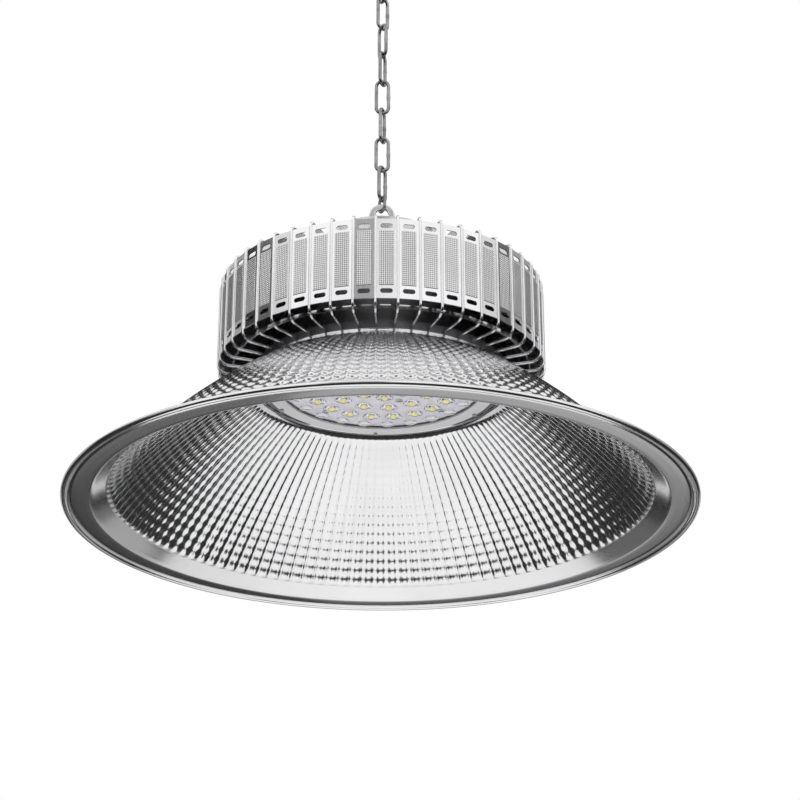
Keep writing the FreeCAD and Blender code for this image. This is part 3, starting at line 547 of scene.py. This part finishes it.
def finish(name, colour, metallic, rough, grain=400.0, drift=6.0, colour_share=0.08, bump=0.15,
           stretch=(1, 1, 1)):
    """Principled finish; colour and roughness are their base value x (1 -/+ share) along two noises."""
    material = bpy.data.materials.new(name)
    material.use_nodes = True
    tree = material.node_tree
    shader = tree.nodes["Principled BSDF"]
    shader.inputs["Metallic"].default_value = metallic
    place = add_node(tree, "ShaderNodeTexCoord")
    mapping = add_node(tree, "ShaderNodeMapping", Scale=stretch)
    fine = add_node(tree, "ShaderNodeTexNoise", Scale=grain, Detail=3.0, Roughness=0.6)
    slow = add_node(tree, "ShaderNodeTexNoise", Scale=drift, Detail=4.0, Roughness=0.55)
    tree.links.new(place.outputs["Object"], mapping.inputs["Vector"])
    tree.links.new(mapping.outputs["Vector"], fine.inputs["Vector"])
    tree.links.new(place.outputs["Object"], slow.inputs["Vector"])
    ramp = add_node(tree, "ShaderNodeValToRGB")
    dark = [c * (1 - colour_share) for c in colour]
    light = [min(1.0, c * (1 + colour_share)) for c in colour]
    ramp.color_ramp.elements[0].position = RAMP_LOW
    ramp.color_ramp.elements[0].color = (*dark, 1)
    ramp.color_ramp.elements[1].position = RAMP_HIGH
    ramp.color_ramp.elements[1].color = (*light, 1)
    tree.links.new(slow.outputs["Fac"], ramp.inputs["Fac"])
    tree.links.new(ramp.outputs["Color"], shader.inputs["Base Color"])
    level = add_node(tree, "ShaderNodeMapRange")
    level.inputs["From Min"].default_value = NOISE_LOW
    level.inputs["From Max"].default_value = NOISE_HIGH
    level.inputs["To Min"].default_value = rough * (1 - ROUGH_SHARE)
    level.inputs["To Max"].default_value = rough * (1 + ROUGH_SHARE)
    tree.links.new(fine.outputs["Fac"], level.inputs["Value"])
    tree.links.new(level.outputs["Result"], shader.inputs["Roughness"])
    if bump:
        relief = add_node(tree, "ShaderNodeBump", Strength=bump, Distance=GRAIN_DEPTH)
        tree.links.new(fine.outputs["Fac"], relief.inputs["Height"])
        tree.links.new(relief.outputs["Normal"], shader.inputs["Normal"])
    return material


def spun_rings(material, pitch, depth, strength):
    """Fine turning marks: height = sin(2 pi r / pitch) of the distance r from the upright axis."""
    tree = material.node_tree
    shader = tree.nodes["Principled BSDF"]
    place = add_node(tree, "ShaderNodeTexCoord")
    flatten = add_node(tree, "ShaderNodeVectorMath", "MULTIPLY")
    flatten.inputs[1].default_value = (1, 1, 0)
    length = add_node(tree, "ShaderNodeVectorMath", "LENGTH")
    turns = add_node(tree, "ShaderNodeMath", "MULTIPLY")
    turns.inputs[1].default_value = 2 * math.pi / pitch
    wave = add_node(tree, "ShaderNodeMath", "SINE")
    relief = add_node(tree, "ShaderNodeBump", Strength=strength, Distance=depth)
    tree.links.new(place.outputs["Object"], flatten.inputs[0])
    tree.links.new(flatten.outputs["Vector"], length.inputs[0])
    tree.links.new(length.outputs["Value"], turns.inputs[0])
    tree.links.new(turns.outputs[0], wave.inputs[0])
    tree.links.new(wave.outputs[0], relief.inputs["Height"])
    tree.links.new(relief.outputs["Normal"], shader.inputs["Normal"])
    return material


def give(material, *pieces):
    """Put one material on pieces or CAD nodes."""
    for piece in pieces:
        piece = nodes[piece] if isinstance(piece, str) else piece
        piece.data.materials.clear()
        piece.data.materials.append(material)


# %% [markdown]
# ## Aluminium: shade, fins, ring and cover
#
# The shade is polished and lacquered sheet, so it mirrors the room with only a little haze.  The
# fins are bright sheet as it comes from the mill.  The grooves of their pressed grid are darkened,
# as painted shade in the hollows between the dimples.  The core is given a dark colour as well,
# painted shade for the casting deep inside the fins, where little light reaches.  The ring is turned
# and the cover is spun, and both keep fine marks round their axis.

# %% The aluminium finishes
give(finish("polished_aluminium", (0.83, 0.83, 0.84), 1.0, 0.16, grain=900, drift=9, colour_share=0.04,
            bump=0.03), shade)
give(finish("mill_aluminium", (0.90, 0.90, 0.91), 1.0, 0.15, grain=700, drift=14, colour_share=0.06,
            bump=0.08, stretch=(1, 1, 0.15)), "fins", hems)


def paint_groove_shade(material, share):
    """Painted shade: the finish's colour scaled from 1 on the dimples down to a share in the grooves."""
    tree = material.node_tree
    shader = tree.nodes["Principled BSDF"]
    colour = shader.inputs["Base Color"].links[0].from_socket
    groove = add_node(tree, "ShaderNodeAttribute")
    groove.attribute_name = "groove"
    level = add_node(tree, "ShaderNodeMapRange")
    level.inputs["To Min"].default_value = 1.0
    level.inputs["To Max"].default_value = share
    scaled = add_node(tree, "ShaderNodeVectorMath", "SCALE")
    tree.links.new(groove.outputs["Fac"], level.inputs["Value"])
    tree.links.new(colour, scaled.inputs[0])
    tree.links.new(level.outputs["Result"], scaled.inputs["Scale"])
    tree.links.new(scaled.outputs["Vector"], shader.inputs["Base Color"])
    return material


# Painted shade in the grid's grooves: their colour falls to 0.4 of the dimples'.
give(paint_groove_shade(finish("pressed_aluminium", (0.92, 0.92, 0.93), 1.0, 0.2, grain=700, drift=14), 0.4),
     panel_grids)
# The core's dark colour is painted shade, for the casting sits deep inside the fins.
give(finish("cast_aluminium_painted_shade", (0.30, 0.30, 0.31), 1.0, 0.42, grain=500, drift=20, colour_share=0.2),
     "heatsink_core")
give(spun_rings(finish("turned_aluminium", (0.92, 0.92, 0.93), 1.0, 0.42, bump=0, colour_share=0.05),
                0.5 * MM, 0.02 * MM, 0.25), "lens_ring")
give(spun_rings(finish("spun_aluminium", (0.74, 0.74, 0.75), 1.0, 0.3, bump=0, colour_share=0.06),
                0.8 * MM, 0.03 * MM, 0.3), "top_cover")
print("finishes so far", sorted(m.name for m in bpy.data.materials))

# %% [markdown]
# ## Steel: chain, hook, eye and screws
#
# Zinc plating is grey and a little cloudy, with dull patches where links rub.  The eye bolt is
# bright plated, and so are the small screws.

# %% The steel finishes
zinc = finish("zinc_plate", (0.33, 0.33, 0.335), 1.0, 0.25, grain=900, drift=90, colour_share=0.3,
              bump=0.2)
give(zinc, *links)
give(zinc, "ceiling_hook")
give(finish("bright_plate", (0.72, 0.72, 0.73), 1.0, 0.16, grain=900, drift=60, colour_share=0.1,
            bump=0.06), "eye_bolt", "eye_washer", "eye_nut", "driver_strap", "strap_screws")
give(finish("screw_plate", (0.45, 0.45, 0.46), 1.0, 0.28, grain=1500, drift=200, colour_share=0.25),
     "shade_screws", "board_screws", "lens_ring_screws", "cover_screws")
print("the chain's", len(links), "links share", zinc.name)

# %% [markdown]
# ## Board, chips and lens
#
# The board has a white mask with a faint lilac cast, and on it sit ceramic chips under yellow beads.
# The lens plate is a clear moulding whose domes enlarge the beads behind them, so it really bends
# the light.

# %% Board, chips and lens
give(finish("white_mask", (0.70, 0.68, 0.73), 0.0, 0.45, grain=600, drift=120, colour_share=0.10,
            bump=0.1), "led_board")
give(finish("ceramic", (0.80, 0.80, 0.76), 0.0, 0.35, grain=1200, drift=300, colour_share=0.06),
     "led_chips")
give(finish("phosphor", (0.90, 0.86, 0.36), 0.0, 0.25, grain=1500, drift=500, colour_share=0.12),
     phosphor_caps)


def clear_moulding():
    """Clear plastic that bends the light, so a dome shows its chip enlarged.

    Light on its way to the board goes straight through, because a path tracer finds it too rarely
    through bent paths, and the board would stay dark.
    """
    material = finish("clear_moulding", (0.95, 0.95, 0.97), 0.0, 0.04, grain=500, drift=40,
                      colour_share=0.03, bump=0.02)
    shader = material.node_tree.nodes["Principled BSDF"]
    shader.inputs["Transmission Weight"].default_value = 1.0
    shader.inputs["IOR"].default_value = 1.49
    tree = material.node_tree
    rays = add_node(tree, "ShaderNodeLightPath")
    lit = add_node(tree, "ShaderNodeMath", "MAXIMUM")
    solid = add_node(tree, "ShaderNodeMath", "SUBTRACT")
    solid.inputs[0].default_value = 1.0
    tree.links.new(rays.outputs["Is Shadow Ray"], lit.inputs[0])
    tree.links.new(rays.outputs["Is Diffuse Ray"], lit.inputs[1])
    tree.links.new(lit.outputs[0], solid.inputs[1])
    tree.links.new(solid.outputs[0], shader.inputs["Alpha"])
    return material


give(clear_moulding(), "lens_plate")
print("the lens plate covers", len(ring_places(LED_RINGS)), "chips")

# %% [markdown]
# ## Rubber, nylon and paint
#
# These parts are matt or satin and keep a fine moulded grain.  Most sit inside, but the gland's
# black nylon stands on the cover, where it is seen from above.

# %% Rubber, nylon and paint
give(finish("grey_rubber", (0.10, 0.10, 0.105), 0.0, 0.75, grain=800, drift=60, colour_share=0.15,
            bump=0.3), "lens_gasket", "lead_grommet", "gland_seal")
give(finish("pad_rubber", (0.17, 0.17, 0.18), 0.0, 0.8, grain=500, drift=60, colour_share=0.12,
            bump=0.3), "driver_pad")
give(finish("driver_paint", (0.60, 0.60, 0.60), 0.0, 0.4, grain=350, drift=15, colour_share=0.05,
            bump=0.25), "driver")
give(finish("lead_jacket", (0.74, 0.74, 0.74), 0.0, 0.45, grain=600, drift=40, colour_share=0.06),
     "driver_lead")
give(finish("black_nylon", (0.025, 0.025, 0.027), 0.0, 0.42, grain=700, drift=50, colour_share=0.2,
            bump=0.2), "gland_body", "gland_nut", "gland_locknut")
print("materials", len(bpy.data.materials))

# %% [markdown]
# ## Camera
#
# The camera stands under the rim and looks up at the light through a long lens, so the near rim
# hides part of the lens plate.

# %% The camera
scene = bpy.context.scene
CAMERA_BACK, CAMERA_BELOW_RIM = 1.5274, 0.5722
LOOK_UP_DEG, LOOK_RIGHT_RAD = 23.595, 0.0099
camera_data = bpy.data.cameras.new("camera")
camera_data.lens = 93.0
camera_data.sensor_width = 36.0
camera = bpy.data.objects.new("camera", camera_data)
camera.location = (0.0, -CAMERA_BACK, RIM_Z - CAMERA_BELOW_RIM)
camera.rotation_euler = (math.radians(90 + LOOK_UP_DEG), 0.0, -LOOK_RIGHT_RAD)
scene.collection.objects.link(camera)
scene.camera = camera
print("camera", [round(v, 3) for v in camera.location], "lens", camera_data.lens)

# %% [markdown]
# ## Room
#
# The room is white all round, with a pale floor a good way under the light.  Straight looks,
# reflections and looks through the lens plate find it fully white, and it lights matt surfaces a
# little less, so they keep their own tone.  Two soft lamps light the floor, and the floor lights the
# inside of the shade.

# %% World, floor and lamps
FLOOR_Z, FLOOR_R = RIM_Z - 1.25, 12.0
ROOM_LIGHT = 0.8
world = bpy.data.worlds.new("studio")
scene.world = world
world.use_nodes = True
tree = world.node_tree
background = tree.nodes["Background"]
background.inputs["Color"].default_value = (1, 1, 1, 1)
rays = add_node(tree, "ShaderNodeLightPath")
first = add_node(tree, "ShaderNodeMath", "MAXIMUM")
second = add_node(tree, "ShaderNodeMath", "MAXIMUM")
level = add_node(tree, "ShaderNodeMapRange")
level.inputs["To Min"].default_value = ROOM_LIGHT
level.inputs["To Max"].default_value = 1.0
tree.links.new(rays.outputs["Is Camera Ray"], first.inputs[0])
tree.links.new(rays.outputs["Is Glossy Ray"], first.inputs[1])
tree.links.new(first.outputs[0], second.inputs[0])
tree.links.new(rays.outputs["Is Transmission Ray"], second.inputs[1])
tree.links.new(second.outputs[0], level.inputs["Value"])
tree.links.new(level.outputs[0], background.inputs["Strength"])


def floor_disc(radius, height, rings=9, spokes=65):
    """Round floor: radius along one way, angle along the other."""
    r = np.linspace(MM, radius, rings)
    a = np.linspace(0, 2 * math.pi, spokes)
    r, a = np.meshgrid(r, a, indexing="ij")
    points = np.stack([r * np.cos(a), r * np.sin(a), np.full_like(r, height)], axis=-1)
    mesh = bpy.data.meshes.new("floor")
    faces = grid_faces(rings, spokes).reshape(-1, 4)
    mesh.from_pydata(points.reshape(-1, 3).tolist(), [], faces.tolist())
    piece = bpy.data.objects.new("floor", mesh)
    scene.collection.objects.link(piece)
    give(finish("pale_floor", (0.80, 0.80, 0.80), 0.0, 0.9, grain=30, drift=1, colour_share=0.02,
                bump=0.0), piece)


def soft_lamp(name, place, target, size, power):
    """Square area lamp that faces a point, and that no mirror shows."""
    data = bpy.data.lights.new(name, "AREA")
    data.size = size
    data.energy = power
    lamp = bpy.data.objects.new(name, data)
    lamp.location = place
    way = np.array(target) - np.array(place)
    lamp.rotation_euler = Vector(way).to_track_quat("-Z", "Y").to_euler()
    lamp.visible_glossy = False
    scene.collection.objects.link(lamp)


floor_disc(FLOOR_R, FLOOR_Z)
soft_lamp("key", (-0.8, -1.6, 1.2), (0, 0, FLOOR_Z), 1.0, 55)
soft_lamp("fill", (1.8, -1.2, 0.6), (0, 0, FLOOR_Z), 1.2, 18)

# %% [markdown]
# ## Dark cards
#
# Polished metal looks like metal only where it has something dark to mirror.  In a white room that
# is a set of grey and black cards, which only reflections see, so the backdrop stays white and no
# lamp is shaded.  A card is a patch of a large ball, given by where it starts and ends round and up,
# because that is how a mirror finds it.

# %% The cards
CARD_STEP_DEG, CARD_ROWS = 7.5, 7


def card(name, radius, around, up, grey):
    """Patch of a ball about the rim's centre: around and up are its first and last degrees."""
    steps = max(2, int((around[1] - around[0]) / CARD_STEP_DEG) + 1)
    a = np.radians(np.linspace(*around, steps))
    e = np.radians(np.linspace(*up, CARD_ROWS))
    a, e = np.meshgrid(a, e, indexing="ij")
    points = radius * np.stack([np.cos(e) * np.cos(a), np.cos(e) * np.sin(a), np.sin(e)], axis=-1)
    points[..., 2] += RIM_Z
    mesh = bpy.data.meshes.new(name)
    faces = grid_faces(steps, CARD_ROWS).reshape(-1, 4)
    mesh.from_pydata(points.reshape(-1, 3).tolist(), [], faces.tolist())
    piece = bpy.data.objects.new(name, mesh)
    scene.collection.objects.link(piece)
    material = bpy.data.materials.new(name)
    material.use_nodes = True
    shader = material.node_tree.nodes["Principled BSDF"]
    shader.inputs["Base Color"].default_value = (0, 0, 0, 1)
    shader.inputs["Emission Color"].default_value = (grey, grey, grey, 1)
    shader.inputs["Emission Strength"].default_value = 1.0
    shader.inputs["Roughness"].default_value = 1.0
    shader.inputs["Specular IOR Level"].default_value = 0.0
    mesh.materials.append(material)
    piece.visible_camera = False
    piece.visible_diffuse = False
    piece.visible_shadow = False


NEAR, ABOVE, FAR = 1.4, 3.9, 4.0        # radii of the three balls
# name, ball, first and last degrees round, first and last degrees up, grey
CARDS = (
    ("low_soft", NEAR, (-160, -20), (-61, -57), 0.40),
    ("low_front", NEAR, (-160, -20), (-57, -15), 0.03),
    ("low_right", NEAR, (-20, 60), (-44, -15), 0.03),
    ("low_left", NEAR, (120, 200), (-44, -15), 0.03),
    ("low_back_right", NEAR, (60, 96), (-44, -21.5), 0.42),
    ("low_back_left", NEAR, (96, 120), (-44, -21.5), 0.14),
    ("rim_right", NEAR, (60, 94), (-21.5, -15), 0.16),
    ("rim_left", NEAR, (94, 120), (-21.5, -15), 0.05),
    ("horizon", NEAR, (-180, 180), (-15, -7), 0.02),
    ("horizon_front", NEAR, (-230, 50), (-7, 3), 0.02),
    ("horizon_back", NEAR, (50, 130), (-7, 3), 0.75),
    ("panel_a", FAR, (14, 84), (3, 34), 0.35),
    ("panel_b", FAR, (102, 152), (3, 34), 0.50),
    ("panel_c", FAR, (152, 170), (3, 34), 0.03),
    ("panel_d", FAR, (170, 188), (3, 34), 0.10),
    ("panel_e", FAR, (188, 197), (3, 34), 0.50),
    ("panel_f", FAR, (-109, -88), (3, 34), 0.35),
    ("panel_g", FAR, (-10, 1), (3, 34), 0.50),
    ("panel_h", FAR, (1, 14), (3, 34), 0.10),
    ("high_right_low", ABOVE, (56, 86), (20, 50), 0.03),
    ("high_right_top", ABOVE, (54, 80), (50, 70), 0.03),
    ("high_left_low", ABOVE, (94, 124), (20, 50), 0.03),
    ("high_left_top", ABOVE, (100, 126), (50, 70), 0.03),
    ("overhead", FAR, (-180, 180), (82, 90), 0.03),
)
for values in CARDS:
    card(*values)
scene.view_settings.view_transform = "Standard"
print("cards", len(CARDS))
